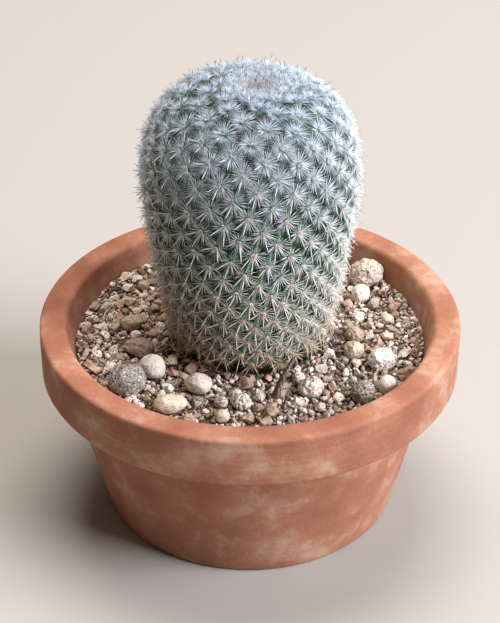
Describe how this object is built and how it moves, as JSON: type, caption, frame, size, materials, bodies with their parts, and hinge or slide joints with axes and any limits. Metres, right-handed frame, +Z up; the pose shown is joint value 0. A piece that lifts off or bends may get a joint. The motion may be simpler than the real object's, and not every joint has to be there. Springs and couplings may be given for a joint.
{
  "type": "potted mammillaria",
  "caption": "Barrel-shaped cactus with spiralled tubercles and dense white spines, growing through pebbles and grit in a plain clay pan.",
  "frame": {"origin": "centre of the pot's flat base, on the surface it stands on", "axes": "+Z up along the stem, +X to the picture's right, -Y towards the camera"},
  "size_m": [0.112, 0.112, 0.1256],
  "materials": {
    "terracotta": "unglazed, matt, with a faint lime bloom",
    "potting_mix": "damp bark and pumice crumb",
    "grit": "matt mixed pumice and river grit",
    "grey_stone": "matt, pitted",
    "cream_stone": "matt",
    "brown_stone": "matt, pitted",
    "twig": "weathered",
    "spined_skin": "green waxy skin under white spines"
  },
  "bodies": {
    "root": {"crock": "terracotta", "grit": "grit", "mammillaria": "spined_skin", "pebble_brown_front": "grey_stone", "pebble_cream_angular": "cream_stone", "pebble_cream_bumpy": "cream_stone", "pebble_cream_front": "cream_stone", "pebble_cream_oval": "cream_stone", "pebble_cream_right": "cream_stone", "pebble_dark_angular": "grey_stone", "pebble_grey_rough": "grey_stone", "pebble_olive_round": "brown_stone", "pebble_round_front": "cream_stone", "pebble_speckled_pumice": "cream_stone", "pebble_tan_block": "brown_stone", "pebble_tan_round": "brown_stone", "pebble_white_front": "cream_stone", "pebble_white_right": "cream_stone", "pebble_white_smooth": "cream_stone", "pot": "terracotta", "potting_mix": "potting_mix", "twig": "twig"}
  },
  "joints": []
}
